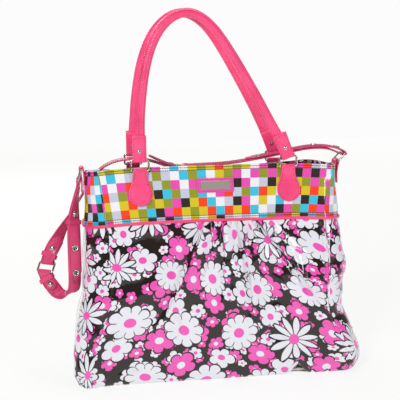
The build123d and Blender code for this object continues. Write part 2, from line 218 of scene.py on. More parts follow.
def grid_faces(rows, cols, around=False):
    """Quads between rows of points, joined round from last to first if asked."""
    last = cols if around else cols - 1
    r, c = np.meshgrid(np.arange(rows - 1), np.arange(last), indexing="ij")
    n = (c + 1) % cols
    quad = [r * cols + c, r * cols + n, (r + 1) * cols + n, (r + 1) * cols + c]
    return np.stack([q.ravel() for q in quad], axis=1).tolist()


def tube_faces(rows, cols, closed=False):
    """Quads of a tube, with a lid at both ends or joined from its last row to its first."""
    first = np.arange(cols)
    last = first + (rows - 1) * cols
    faces = grid_faces(rows, cols, around=True)
    if closed:
        return faces + np.stack([last, np.roll(last, -1), np.roll(first, -1), first], axis=1).tolist()
    return faces + [first[::-1].tolist(), last.tolist()]


def merged(parts):
    """Joins (verts, faces) pairs into one."""
    verts, faces, start = [], [], 0
    for v, f in parts:
        verts.append(v)
        faces += [tuple(np.add(face, start)) for face in f]
        start += len(v)
    return np.vstack(verts), faces


def flat_section(width, thick, bulge=0.0):
    """Outline of a strap's cross-section: a rectangle with round edges, crowned by bulge."""
    r = thick / 2 * 0.92
    angles = np.radians([-90, -60, -30, 0, 30, 60, 90])
    right = np.c_[width / 2 - r + r * np.cos(angles), (thick / 2) * np.sin(angles)]
    crown = np.c_[width * np.array([0.25, 0, -0.25]), thick / 2 + bulge * np.array([0.8, 1, 0.8])]
    half = np.vstack([right, crown])
    return np.vstack([half, -half])


def round_section(width, thick, count):
    angles = np.linspace(0, 2 * pi, count, endpoint=False)
    return np.c_[width / 2 * np.cos(angles), thick / 2 * np.sin(angles)]


def swept(path, across, sections, closed=False):
    """Verts and faces of a body swept along a path, one section outline to each point."""
    path, sections = np.asarray(path, float), np.asarray(sections)
    across, normal = ribbon_axes(path, across)
    verts = path[:, None] + across[:, None] * sections[..., :1] + normal[:, None] * sections[..., 1:]
    return verts.reshape(-1, 3), tube_faces(*sections.shape[:2], closed)


def cord(line, across, width, count, closed=False):
    """A round cord along a line."""
    sections = np.broadcast_to(round_section(width, width, count), (len(line), count, 2))
    return swept(line, across, sections, closed)


def strip(path, across, width, thick, bulge=0.0):
    """A flat strap along a path. The width is one number or one to each point."""
    widths = np.broadcast_to(width, len(path))
    return swept(path, across, [flat_section(w, thick, bulge) for w in widths])


def edge_line(path, across, offset, lift):
    """A line on a strap's face: offset from its middle, lifted off it along its normal."""
    across, normal = ribbon_axes(path, across)
    return path + across * np.reshape(offset, (-1, 1)) + normal * lift, normal


def stitches(lines, pitch=3.6, length=2.5, thick=0.55):
    """Verts and faces of sewn dashes along (line, normal) pairs."""
    parts = []
    for line, normal in lines:
        steps = lengths_along(line)
        count = max(int(steps[-1] / pitch), 1)
        middles = (np.arange(count) + 0.5) * steps[-1] / count
        at = lambda s, values: np.stack([np.interp(s, steps, values[:, k]) for k in range(3)], axis=1)
        a, b = at(middles - length / 2, line), at(middles + length / 2, line)
        n = unit(at(middles, normal))
        side = np.cross(n, unit(b - a))
        rings = [centre + out * sign * thick / 2 for centre in (a + (b - a) * 0.16, b - (b - a) * 0.16)
                 for out, sign in ((side, 1), (n, 1), (side, -1), (n, -1))]
        block = np.stack([a, *rings, b], axis=1)
        shape = [(0, 2, 1), (0, 3, 2), (0, 4, 3), (0, 1, 4), (1, 2, 6, 5), (2, 3, 7, 6), (3, 4, 8, 7),
                 (4, 1, 5, 8), (9, 5, 6), (9, 6, 7), (9, 7, 8), (9, 8, 5)]
        faces = [tuple(10 * i + k for k in face) for i in range(count) for face in shape]
        parts.append((block.reshape(-1, 3), faces))
    return merged(parts)


def turned(outline, origin, axis, count=28):
    """A body of revolution: (radius, height) points turned round an axis."""
    axis = unit(np.asarray(axis, float))
    side = unit(np.cross(axis, (0.3, 0.1, 0.9) if abs(axis[2]) < 0.9 else (1, 0, 0)))
    other = np.cross(axis, side)
    angles = np.linspace(0, 2 * pi, count, endpoint=False)
    circle = np.cos(angles)[:, None] * side + np.sin(angles)[:, None] * other
    verts = np.vstack([np.asarray(origin) + circle * r + axis * h for r, h in outline])
    return verts, tube_faces(len(outline), count)


def thicken(obj, amount):
    """Gives a cloth surface its thickness, inwards from the face that shows."""
    solid = obj.modifiers.new("thickness", "SOLIDIFY")
    solid.thickness = amount * MM
    solid.offset = -1
    return obj


# --- materials ---

class Graph:
    """Short names for the nodes of one material."""

    def __init__(self, name):
        self.material = bpy.data.materials.new(name)
        self.material.use_nodes = True
        self.tree = self.material.node_tree
        self.shader = self.tree.nodes["Principled BSDF"]

    def node(self, kind, inputs=None, **settings):
        """A new node, with values or sockets for its inputs."""
        node = self.tree.nodes.new(kind)
        for key, value in settings.items():
            setattr(node, key, value)
        for key, value in (inputs or {}).items():
            self.feed(node.inputs[key], value)
        return node

    def feed(self, socket, value):
        if isinstance(value, bpy.types.NodeSocket):
            self.tree.links.new(value, socket)
        else:
            socket.default_value = value

    def math(self, operation, *values, clamp=False):
        inputs = dict(enumerate(values))
        return self.node("ShaderNodeMath", inputs, operation=operation, use_clamp=clamp).outputs[0]

    def times(self, a, b):
        return self.math("MULTIPLY", a, b)

    def plus(self, a, b):
        return self.math("ADD", a, b)

    def minus(self, a, b):
        return self.math("SUBTRACT", a, b)

    def scaled(self, value, scale, shift):
        return self.math("MULTIPLY_ADD", value, scale, shift)

    def length(self, x, y):
        return self.math("SQRT", self.plus(self.times(x, x), self.times(y, y)))

    def step(self, value, low, high):
        """0 below low, 1 above high."""
        inputs = {"Value": value, "From Min": low, "From Max": high}
        return self.node("ShaderNodeMapRange", inputs, clamp=True).outputs["Result"]

    def mix(self, share, a, b):
        node = self.node("ShaderNodeMix", data_type="RGBA")
        self.feed(node.inputs["Factor"], share)
        colours = [s for s in node.inputs if s.type == "RGBA"]
        self.feed(colours[0], a)
        self.feed(colours[1], b)
        return [s for s in node.outputs if s.type == "RGBA"][0]

    def place(self):
        """The point in the piece's own space, in metres."""
        return self.node("ShaderNodeTexCoord").outputs["Object"]

    def cloth_uv(self, turn=0.0, shift=(0.0, 0.0)):
        """The cloth's own (u, v) in metres, turned and shifted."""
        uv = self.node("ShaderNodeUVMap", uv_map="cloth").outputs["UV"]
        inputs = {"Vector": uv, "Rotation": (0, 0, turn), "Location": (*shift, 0)}
        return self.node("ShaderNodeMapping", inputs).outputs["Vector"]

    def split(self, vector):
        return self.node("ShaderNodeSeparateXYZ", {0: vector}).outputs[:3]

    def random(self, x, y, seed):
        """Three random numbers that belong to a cell."""
        cell = self.node("ShaderNodeCombineXYZ", {0: x, 1: y, 2: seed}).outputs[0]
        noise = self.node("ShaderNodeTexWhiteNoise", {"Vector": cell}, noise_dimensions="3D")
        return self.node("ShaderNodeSeparateColor", {0: noise.outputs["Color"]}).outputs[:3]

    def noise(self, vector, scale, detail=2.0, roughness=0.5):
        inputs = {"Vector": vector, "Scale": scale, "Detail": detail, "Roughness": roughness}
        return self.node("ShaderNodeTexNoise", inputs).outputs["Fac"]

    def bump(self, height, distance, strength):
        node = self.node("ShaderNodeBump", {"Height": height, "Distance": distance, "Strength": strength})
        self.feed(self.shader.inputs["Normal"], node.outputs["Normal"])

    def finish(self, **sockets):
        for name, value in sockets.items():
            self.feed(self.shader.inputs[name.replace("_", " ")], value)
        return self.material


def cells(g, uv, size, spread, seed):
    """Divides the cloth into staggered cells of size metres. Gives the place in the cell
    from a point that is moved at random by spread, and two sets of random numbers."""
    u, v, _ = g.split(uv)
    row_at = g.math("DIVIDE", v, size)
    row = g.math("FLOOR", row_at)
    column_at = g.scaled(row, 0.5, g.math("DIVIDE", u, size))
    column = g.math("FLOOR", column_at)
    first = g.random(column, row, seed)
    second = g.random(column, row, seed + 7.3)
    x, y = (g.minus(g.minus(g.minus(at, whole), 0.5), g.scaled(chance, spread, -spread / 2))
            for at, whole, chance in ((column_at, column, first[0]), (row_at, row, first[1])))
    return x, y, first, second


def petal_place(g, x, y, reach, turn, petals):
    """Distance from a flower's middle as a share of its reach, and 0 to 1 from a petal's
    middle line to the gap beside it."""
    r = g.math("DIVIDE", g.length(x, y), reach)
    angle = g.scaled(turn, 2 * pi, g.math("ARCTAN2", y, x))
    uneven = g.scaled(g.math("SINE", angle), 0.08, 1.0)
    uneven = g.scaled(g.math("SINE", g.times(angle, 2.0)), 0.09, uneven)
    r = g.times(r, uneven)
    turns = g.times(g.math("DIVIDE", angle, 2 * pi), petals)
    off = g.times(g.math("ABSOLUTE", g.minus(g.math("FRACT", turns), 0.5)), 2.0)
    return r, off


def pointed_petals(g, r, off, petals, spare):
    """Mask of long petals that taper at both ends, wider by spare."""
    share = g.math("DIVIDE", g.minus(r, 0.08), 0.92 + 2 * spare, clamp=True)
    belly = g.math("POWER", g.math("SINE", g.times(g.math("POWER", share, 1.3), pi)), 0.7)
    width = g.scaled(belly, 0.125, spare)
    aside = g.times(g.times(off, r), g.math("DIVIDE", pi, petals))
    short = g.step(g.minus(1.0 + spare, r), 0.0, 0.02)
    return g.times(short, g.step(g.minus(width, aside), 0.0, 0.012))


def round_petals(g, r, off, depth):
    """Mask of short round petals, notched to depth between them."""
    arc = g.math("SQRT", g.math("SUBTRACT", 1.0, g.times(off, off), clamp=True))
    rim = g.scaled(arc, depth, 1.0 - depth)
    return g.step(g.minus(rim, r), 0.0, 0.02)


def flower_layer(g, paint, turn, size, reach, spread, seed, few, more, large):
    """Paints one scatter of flowers, each in a thin margin of bare ground."""
    x, y, first, second = cells(g, g.cloth_uv(turn, (seed * 0.037, seed * 0.021)), size, spread, seed)
    span = g.scaled(second[0], reach * 0.25, reach * 0.8)
    petals = g.plus(g.math("FLOOR", g.times(second[1], more)), few)
    r, off = petal_place(g, x, y, span, first[2], petals)
    white, pink = colour(FLOWER_WHITE), colour(FLOWER_PINK)
    eye_size = 0.21 if large else 0.27
    eye = g.step(r, eye_size + 0.02, eye_size)
    if large:
        kind = g.math("GREATER_THAN", second[2], 0.46)
        masks = []
        for spare in (0.045, 0.0):
            long_ones = pointed_petals(g, r, off, petals, spare)
            round_ones = round_petals(g, g.times(r, 1.26 - 2 * spare), off, 0.30)
            if not spare:
                gap = g.times(g.step(off, 0.88, 0.95), g.step(r, 0.42, 0.48))
                round_ones = g.times(round_ones, g.minus(1.0, gap))
            blend = g.plus(g.times(long_ones, kind), g.times(round_ones, g.minus(1.0, kind)))
            masks.append(g.math("MAXIMUM", blend, eye))
        tint = g.mix(eye, white, pink)
    else:
        there = g.math("GREATER_THAN", first[2], 0.05)
        swap = g.math("GREATER_THAN", second[2], 0.5)
        margin = 0.0022 / (size * reach)
        masks = [g.times(there, round_petals(g, g.minus(r, m), off, 0.5)) for m in (margin, 0.0)]
        tint = g.mix(eye, g.mix(swap, white, pink), g.mix(swap, pink, white))
    return g.mix(masks[1], g.mix(masks[0], paint, colour(GROUND)), tint)


def under_film(g, paint, distance, strength, rough):
    """Finishes a printed cloth with a wet-looking film that isn't quite flat."""
    g.bump(g.noise(g.place(), 70.0, 3.0, 0.55), distance, strength)
    roughness = g.scaled(g.noise(g.place(), 30.0), 0.08, rough)
    return g.finish(Base_Color=paint, Roughness=roughness, Coat_Weight=0.3, Coat_Roughness=0.04)


def floral_laminate():
    """Flowers printed on brown-black cotton under a film. A layer's numbers are its turn, the
    size of its cells in metres, the flowers' reach and spread as shares of a cell, its seed,
    the fewest petals and how many more there may be, and whether the flowers are large."""
    g = Graph("floral_laminate")
    shade = g.noise(g.place(), 9.0, 3.0)
    paint = g.mix(shade, colour(GROUND), colour("21130D"))
    layers = [
        (0.61, 0.0225, 0.34, 0.24, 3.0, 5.0, 1.0, False),
        (-0.38, 0.0305, 0.37, 0.22, 11.0, 5.0, 1.0, False),
        (0.94, 0.050, 0.40, 0.18, 19.0, 5.0, 1.6, False),
        (0.17, 0.081, 0.44, 0.08, 29.0, 9.0, 4.0, True),
    ]
    for layer in layers:
        paint = flower_layer(g, paint, *layer)
    return under_film(g, paint, 0.0010, 0.4, 0.06)


def mosaic_laminate():
    """Rows of coloured squares, half squares along both edges, under a glossy film."""
    g = Graph("mosaic_laminate")
    u, v, _ = g.split(g.cloth_uv())
    column = g.math("FLOOR", g.math("DIVIDE", u, SQUARE_W * MM))
    row = g.math("FLOOR", g.math("DIVIDE", g.plus(v, SQUARE_H / 2 * MM), SQUARE_H * MM))
    chance = g.random(column, row, 5.0)
    parity = g.math("FLOORED_MODULO", g.plus(column, row), 2.0)
    sets = []
    for codes in (SQUARES_EVEN, SQUARES_ODD):
        ramp = g.node("ShaderNodeValToRGB")
        ramp.color_ramp.interpolation = "CONSTANT"
        for i, code in enumerate(codes):
            stop = ramp.color_ramp.elements[i] if i < 2 else ramp.color_ramp.elements.new(0.99)
            stop.position = i / len(codes)
            stop.color = colour(code)
        g.feed(ramp.inputs["Fac"], chance[0])
        sets.append(ramp.outputs["Color"])
    weave = g.times(g.math("SINE", g.times(u, 5200.0)), g.math("SINE", g.times(v, 5200.0)))
    paint = g.mix(g.scaled(weave, 0.05, 0.07), g.mix(parity, *sets), colour("8A8478"))
    return under_film(g, paint, 0.0008, 0.35, 0.08)


def leather(name, base, dark):
    """Smooth faux leather with a fine pebbled grain."""
    g = Graph(name)
    place = g.place()
    cloud = g.step(g.noise(place, 26.0, 4.0), 0.35, 0.75)
    grain = g.node("ShaderNodeTexVoronoi", {"Vector": place, "Scale": 900.0}, feature="F1")
    height = g.plus(g.times(grain.outputs["Distance"], 0.7), g.noise(place, 600.0, 3.0))
    g.bump(height, 0.00025, 0.5)
    return g.finish(
        Base_Color=g.mix(cloud, colour(base), colour(dark)),
        Roughness=g.scaled(g.noise(place, 200.0), 0.14, 0.30),
        Coat_Weight=0.15, Coat_Roughness=0.2,
    )


def metal(name, code, rough, brushed=False):
    """Plated metal, with fine brushed lines if asked."""
    g = Graph(name)
    place = g.place()
    if brushed:
        stretch = g.node("ShaderNodeMapping", {"Vector": place, "Scale": (20.0, 2600.0, 2600.0)})
        lines = g.noise(stretch.outputs["Vector"], 1.0, 3.0, 0.7)
    else:
        lines = g.noise(place, 220.0, 4.0, 0.6)
    tone = g.mix(g.step(lines, 0.3, 0.8), colour(code), colour("C9C4BC"))
    g.bump(lines, 0.00012, 0.25)
    return g.finish(Base_Color=tone, Metallic=1.0, Roughness=g.scaled(lines, 0.16, rough))


def thread(name, code):
    g = Graph(name)
    twist = g.noise(g.place(), 2500.0, 2.0)
    g.bump(twist, 0.0002, 0.5)
    return g.finish(Base_Color=g.mix(twist, colour(code), colour("5A2A38")), Roughness=0.6)


def woven(name, code, other, rough=0.55):
    """Plain-woven cloth."""
    g = Graph(name)
    x, y, z = g.split(g.place())
    warp = g.math("SINE", g.times(g.plus(x, y), 6000.0))
    weft = g.math("SINE", g.times(z, 6000.0))
    height = g.times(warp, weft)
    share = g.step(g.plus(height, g.noise(g.place(), 60.0, 3.0)), -0.6, 1.6)
    g.bump(height, 0.0002, 0.5)
    return g.finish(Base_Color=g.mix(share, colour(code), colour(other)), Roughness=rough)


# --- the cloth body ---

def section_points(w, d, r):
    """Points and outward normals round a rounded rectangle, from the front left corner on."""
    w, d, r = (np.reshape(a, (-1, 1)) for a in (w, d, r))
    a, b = w / 2 - r, d / 2 - r
    sides = []
    for (out_x, out_y), steps in zip(((0, -1), (1, 0), (0, 1), (-1, 0)), 2 * (FACE_STEPS, SIDE_STEPS)):
        run = np.r_[np.linspace(-1, 1, steps, endpoint=False), np.ones(CORNER_STEPS)]
        turn = np.r_[np.zeros(steps), np.linspace(0, pi / 2, CORNER_STEPS, endpoint=False)]
        nx = out_x * np.cos(turn) - out_y * np.sin(turn)
        ny = out_y * np.cos(turn) + out_x * np.sin(turn)
        x, y = a * (out_x - out_y * run) + r * nx, b * (out_y + out_x * run) + r * ny
        sides.append(np.broadcast_arrays(x, y, nx, ny))
    return [np.hstack(values) for values in zip(*sides)]


COLS = 2 * FACE_STEPS + 4 * CORNER_STEPS + 2 * SIDE_STEPS
FRONT = (0, FACE_STEPS)
RIGHT = (FRONT[1], FRONT[1] + 2 * CORNER_STEPS + SIDE_STEPS)
BACK = (RIGHT[1], RIGHT[1] + FACE_STEPS)
LEFT = (BACK[1], COLS)


def round_lengths():
    """Length round the bag at mid height, 0 at the middle of the front, one to a column."""
    x, y, _, _ = section_points(410.0, 116.0, 42.0)
    ring = np.c_[x[0], y[0]]
    lengths = lengths_along(np.vstack([ring, ring[:1]]))
    return lengths - lengths[FACE_STEPS // 2]


LENGTH_AT = round_lengths()
SQUARE_W = (LENGTH_AT[-1] - LENGTH_AT[0]) / COLUMNS_ROUND

# Gathers under the band: x and height of the top, x and height of the low end, and depth.
GATHERS = [
    (-30, 252, -66, 150, 3.4), (-16, 252, -104, 74, 8.4), (-4, 253, -28, 150, 5.4), (10, 253, 2, 112, 5.2),
    (22, 253, 30, 160, 5.4), (34, 253, 58, 78, 8.4), (48, 253, 84, 150, 4.6), (62, 253, 176, 96, 8.6),
    (76, 252, 128, 178, 3.8),
]


def gather_fields(x, z):
    """How far the front cloth stands out along its gathers, and the width tucked into them."""
    height = np.zeros(np.broadcast(x, z).shape)
    tuck = np.zeros(height.shape)
    for x_top, z_top, x_low, z_low, depth in GATHERS:
        run = np.array([x_low - x_top, z_low - z_top], float)
        length = np.linalg.norm(run)
        run /= length
        t = ((x - x_top) * run[0] + (z - z_top) * run[1]) / length
        share = np.clip(t, 0, 1)
        bow = 5.0 * np.sin(share * pi)
        d = (x - x_top) * -run[1] + (z - z_top) * run[0] - bow
        fade = ease(t, -0.02, 0.05) * (1 - ease(t, 0.5, 1.1))
        sharp, gentle = 2.0 + 1.6 * share, 8.0 + 11.0 * share
        ridge = np.where(d > 0, np.exp(-np.abs(d) / gentle), np.exp(-(d / sharp) ** 2))
        height += depth * fade * (ridge - 0.35 * bell(d, -2.2 * sharp, 1.6 * sharp))
        tuck += TUCK * depth * (1 - ease(t, 0.3, 1.1)) * ease(d, -1.8 * sharp, -0.2 * sharp)
    return height, tuck


def creases(u, z, seed):
    """Sharp little ridges where laminated cloth has been bent."""
    field = ripple(u, z, seed, 95.0)
    strength = ease(ripple(u, z, seed + 1, 120.0), 0.1, 1.4)
    return strength * np.exp(-(field / 0.09) ** 2)


def cloth_relief(u, x, z, ny):
    """Height of the cloth over its plain shape, in millimetres."""
    body = ease(z, 2, 40) * (1 - ease(z, BAND_Z - 16, BAND_Z - 2))
    front = ease(-ny, 0.6, 0.95)
    back = ease(ny, 0.6, 0.95)
    waves = 2.2 * ripple(u, z, 4, 105.0) + 0.9 * ripple(u, z, 8, 46.0)
    relief = body * (waves + 2.4 * creases(u, z, 21) + 1.9 * creases(u, z, 33))
    relief += front * gather_fields(x, z)[0] + back * gather_fields(-x, z)[0]
    relief += (front + back) * 3.5 * bell(z, 205, 45) * bell(np.abs(x), 20, 120)
    ends = ease(np.abs(x), 142, 175) * ease(z, BAND_Z - 2, BAND_Z + 16)
    return relief + ends * (1.3 * ripple(u, z, 15, 60.0) + 1.4 * creases(u, z, 51))


def plain_cloth(z):
    """Points and outward normals of the smooth body at each height."""
    return section_points(*(np.interp(z, PROFILE[:, 0], PROFILE[:, k]) for k in (1, 2, 3)))


def cloth(z, inset=0.0):
    """Points of the bag's cloth at each height, one to a column, moved in by inset."""
    z = np.asarray(z, float)
    x, y, nx, ny = plain_cloth(z)
    heights = np.broadcast_to(z[:, None], x.shape).copy()
    u = np.broadcast_to(LENGTH_AT[None, :-1], x.shape)
    out = cloth_relief(u, x, heights, ny) - np.reshape(inset, (-1, 1))
    x, y = x + nx * out, y + ny * out
    # the left back corner of the mouth is folded in round the strap
    fold = np.interp(heights, [240, 262, 276, 322, TOP_Z], [-230, -205, -190, -163, -154])
    beyond = np.minimum(x - fold, 0) * ease(y, 2, 8)
    x = x - 0.88 * beyond
    # the back of the mouth is drawn forward in the middle and stands open on the right
    behind = ease(y, 0, 20) * ease(heights, BAND_Z, TOP_Z)
    y = y + behind * soft_interp(x, BACK_EDGE_Y)
    heights = heights + behind * soft_interp(x, BACK_EDGE_Z)
    # the ends of the band hang lower than its middle
    heights = heights - 7.0 * (np.abs(x) / 200) ** 4 * ease(heights, 120, BAND_Z)
    # both sides slump outwards, the right one is dented above that, and the front hem is
    # lifted beside the slumped right corner
    right = ease(x, 120, 205)
    bulge = 9.0 * bell(heights, 170, 38) - 5.0 * bell(heights, 104, 26) + 9.0 * bell(heights, 34, 34)
    x = x + right * bulge
    x = x + right * 5.0 * ease(-y, 10, 60) * (1 - ease(heights, 30, 80))
    x = x - ease(-x, 120, 205) * 3.0 * bell(heights, 55, 45)
    low_left = ease(-x, 165, 215) * ease(-y, 25, 62) * (1 - ease(heights, 0, 75))
    x, y = x - 3.0 * low_left, y - 8.0 * low_left
    low_front = ease(-y, 30, 60) * (1 - ease(heights, 0, 52))
    heights = heights + 15.0 * bell(x, 128, 11) * low_front
    return np.stack([x, y, heights], axis=-1)


# Shift of the back top edge, as (x, millimetres): backwards and upwards.
BACK_EDGE_Y = [(-200, 0), (-152, -5), (-136, 0), (-94, 0), (-40, -17), (0, -22), (50, -15), (94, 0),
               (136, 0), (165, 8), (198, 2)]
BACK_EDGE_Z = [(-200, -12), (-155, -15), (-128, -9), (-100, -9), (-40, -12), (0, -12), (50, -10), (94, -8),
               (134, -5), (165, -2), (198, -3)]


def tucked_length(z):
    """Length of printed cloth round the bag at each height, with what the gathers hide."""
    x, _, _, ny = plain_cloth(z)
    x, ny = (np.concatenate([a, a[:, :1]], axis=1) for a in (x, ny))
    heights = np.broadcast_to(np.reshape(z, (-1, 1)), x.shape)
    hidden = np.where(ny < -0.99, gather_fields(x, heights)[1], 0)
    return LENGTH_AT + hidden + np.where(ny > 0.99, gather_fields(-x, heights)[1], 0)


def cloth_piece(name, span, z, inset, base=0.0):
    """One panel of the cloth body, between two columns."""
    points = cloth(z, inset)
    points = np.concatenate([points, points[:, :1]], axis=1)[:, span[0]:span[1] + 1]
    rows, cols = points.shape[:2]
    lengths = LENGTH_AT if base else tucked_length(z)
    u = np.broadcast_to(lengths[..., span[0]:span[1] + 1], (rows, cols))
    v = np.broadcast_to(np.reshape(z, (-1, 1)) - base, (rows, cols))
    uvs = np.stack([u, v], axis=-1).reshape(-1, 2)
    return new_piece(name, points.reshape(-1, 3), grid_faces(rows, cols), uvs)


def hem_inset(z):
    """How far the cloth turns in under the bag near the floor."""
    low = np.clip((HEM_R - np.asarray(z)) / HEM_R, 0, 1)
    return HEM_R * (1 - np.sqrt(1 - low ** 2))


def cloth_pieces(look, thick, z, inset, base, *table):
    """Panels that share their heights: name, columns, and the CAD nodes each stands for."""
    for name, span, *nodes in table:
        dress(thicken(cloth_piece(name, span, z, inset, base), thick), "bag", look, *nodes)


def make_panels():
    z = np.r_[0.0, 0.3, 0.9, 1.9, 3.4, 5.5, np.arange(7.5, BAND_Z, 2.05), BAND_Z]
    cloth_pieces("floral", 1.2, z, hem_inset(z), 0.0,
                 ("front_panel_cloth", FRONT, "front_panel"), ("right_gusset_cloth", RIGHT, "right_gusset"),
                 ("back_panel_cloth", BACK, "back_panel"), ("left_gusset_cloth", LEFT, "left_gusset"))
    z = np.r_[np.arange(BAND_Z, TOP_Z - 0.6, 2.2), TOP_Z - 0.5, TOP_Z, TOP_Z + 0.3, TOP_Z]
    inset = np.zeros(len(z))
    inset[-4:] = (0.1, 0.5, 1.4, 2.3)
    cloth_pieces("mosaic", 0.9, z, inset, BAND_Z,
                 ("front_band_cloth", (FRONT[0], RIGHT[0] + CORNER_STEPS), "front_band"),
                 ("right_band_cloth", (RIGHT[0] + CORNER_STEPS, RIGHT[1])),
                 ("back_band_cloth", (BACK[0], BACK[1] + CORNER_STEPS), "back_band"),
                 ("left_band_cloth", (LEFT[0] + CORNER_STEPS, LEFT[1])))


def make_base():
    """The floral base, drawn in from the turned hem to the middle."""
    hem = cloth([0.0], hem_inset([0.0]))[0]
    shares = np.linspace(1.0, 0.0, 14)[:-1]
    rings = [np.c_[hem[:, :2] * s, hem[:, 2] * s + 0.2 * (1 - s)] for s in shares]
    verts = np.vstack([*rings, [[0, 0, 0.2]]])
    faces = grid_faces(len(rings), COLS, around=True)
    last = (len(rings) - 1) * COLS
    faces += [(last + c, last + (c + 1) % COLS, len(verts) - 1) for c in range(COLS)]
    base = new_piece("base_panel_cloth", verts, [f[::-1] for f in faces], verts[:, :2])
    dress(base, "bag", "floral", "base_panel")


def make_inside():
    facing_z = box("top_facing")[0][2]
    z = np.r_[np.arange(facing_z, TOP_Z - 1, 3.0), TOP_Z - 0.6]
    cloth_pieces("floral", 0.7, z, 2.7, 0.0, ("facing_front", FRONT, "top_facing"),
                 ("facing_right", RIGHT), ("facing_back", BACK), ("facing_left", LEFT))
    z = np.r_[np.arange(8.0, facing_z, 4.0), facing_z + 2]
    cloth_pieces("lining", 0.5, z, 3.6 + hem_inset(z), 0.0, ("lining_sack", (0, COLS), "lining"))
    hem = cloth([8.0], 3.6)[0]
    rings = [np.c_[hem[:, :2] * s, np.full(COLS, 8.0)] for s in (1.0, 0.7, 0.4, 0.1)]
    floor = new_piece("lining_floor", np.vstack(rings), grid_faces(4, COLS, around=True))
    dress(thicken(floor, 0.5), "bag", "lining")
    low, high = box("inner_pocket")
    middle = (BACK[0] + BACK[1]) // 2
    cloth_pieces("lining", 0.7, np.arange(low[2], high[2], 3.0), 6.2, 0.0,
                 ("inner_pocket_cloth", (middle - 52, middle + 52), "inner_pocket"))


def ring_of(z, out):
    """A closed line round the bag at a height, and its outward normals."""
    line = cloth([z], -out)[0]
    inner = cloth([z], 2.0 - out)[0]
    return line, unit(line - inner)


def make_band_trim():
    """The piping under the band, and the rows of stitches along both its edges."""
    add("piping_cord", cord(*ring_of(BAND_Z, 1.2), 4.6, 14, closed=True), "bag", "pink", "band_piping")
    rows = [ring_of(z, 0.15) for z in (BAND_Z + 4.4, BAND_Z + 7.6, TOP_Z - 2.4, TOP_Z - 6.2)]
    sew("band", [[np.vstack([a, a[:1]]) for a in row] for row in rows], "bag", 3.4, 2.9, 1.1)


# --- handles ---

# Outline of a handle in its own plane: x, and height over the rings' upper bar.
HANDLE_LINE = [(-115, 14), (-114, 34), (-111, 84), (-102, 143), (-86, 187), (-62, 214), (-36, 222.5),
               (-11, 212), (15, 184), (64, 100), (98, 34), (109, 14)]


def tab_x(face, hand):
    """X of the middle of a handle tab."""
    return sum(box(f"{face}_{hand}_tab"))[0] / 2


def bar_y(side):
    """Y of the rings' lower bars on the front (-1) or back (1)."""
    low, high = box("front_left_ring" if side < 0 else "back_left_ring")
    return (low if side < 0 else high)[1] - side * WIRE_R


def handle_space(side, points):
    """Points of a handle's plane, (x, out, height over the upper bar), to the row frame."""
    x, out, up = np.asarray(points, float).T
    up = up + RING_REACH
    face = "front" if side < 0 else "back"
    x = x + (tab_x(face, "left") + tab_x(face, "right")) / 2
    y = bar_y(side) - side * up * sin(LEAN) + side * out * cos(LEAN)
    return np.c_[x, y, PIVOT_Z + up * cos(LEAN) + out * sin(LEAN)]


def handle_end(side, end, tilt):
    """The flat end of a handle, folded round its ring: strap, and stitch lines."""
    loop = [(37.0, 5.4), (30.0, 4.6), (20.0, 2.6), (12.0, 1.7), (6.0, 2.2), (1.5, BAR_FOLD)]
    fold = [(-BAR_FOLD * sin(a), BAR_FOLD * cos(a)) for a in np.radians([20, 50, 90, 130, 160])]
    profile = loop + fold + [(h, -o) for h, o in reversed(loop)]
    local = np.array([(end * TAB_X - h * sin(tilt), o, h * cos(tilt)) for h, o in profile])
    middle = handle_space(side, local)
    beside = handle_space(side, local + np.array([cos(tilt), 0, sin(tilt)]))
    ply, across = round_corners(middle, 2), round_corners(beside - middle, 2)
    one_side = slice(1, len(ply) // 2 - 6)
    lines = []
    for offset in (-HANDLE_SEAM, HANDLE_SEAM):
        for lift in (HANDLE_LIFT, -HANDLE_LIFT):
            line, normal = edge_line(ply, across, offset, lift)
            lines.append((line[one_side], normal[one_side]))
    for lift in (HANDLE_LIFT, -HANDLE_LIFT):
        out = np.cross(directions(ply)[1], unit(across[1])) * lift
        hem = ply[1] + across[1] * np.linspace(-HANDLE_SEAM, HANDLE_SEAM, 12)[:, None] + out
        lines.append((hem, alike(out, hem)))
    return strip(ply, across, 21.0, 2.1, 0.15), lines


def make_handle(side, face):
    name = face + "_handle"
    flat = round_corners(HANDLE_LINE, 4)
    reach = flat[:, 1]
    line = np.c_[flat[:, 0], np.zeros(len(flat)), reach]
    width = np.interp(reach, [14, 30, 48, 62], [15.5, 16.0, 14.6, 14.0])
    thick = np.interp(reach, [14, 26, 44, 62], [3.4, 5.0, 11.0, 14.0])
    path = handle_space(side, line)
    along = directions(line)
    inward = np.c_[-along[:, 2], 0 * reach, along[:, 0]]
    outward = handle_space(side, line + np.c_[-along[:, 2], along[:, 1], along[:, 0]]) - path
    seam_at = handle_space(side, line + inward * 2.2 + np.c_[0 * reach, thick / 2, 0 * reach])
    seam = reach > 34
    parts = [swept(path, outward, [round_section(w, t, 24) for w, t in zip(width, thick)])]
    lines = [(seam_at[seam], alike((0, side, 0.1), seam_at[seam]))]
    for end, tilt in ((-1, 0.0), (1, RIGHT_TILT)):
        part, sewn = handle_end(side, end, tilt)
        parts.append(part)
        lines += sewn
    core = reach > 40
    add(name + "_core", cord(path[core], outward[core], 8.0, 16), name, "rope", name + "_rope")
    add(name + "_leather", merged(parts), name, "pink", name + "_cover")
    sew(name, lines, name)


def fold_round(bar, out, degrees):
    """The middle of leather folded round a bar, from the way out over the top."""
    turn = np.radians(degrees)
    return np.c_[bar[0] + out * BAR_FOLD * np.cos(turn), bar[1] + BAR_FOLD * np.sin(turn)]


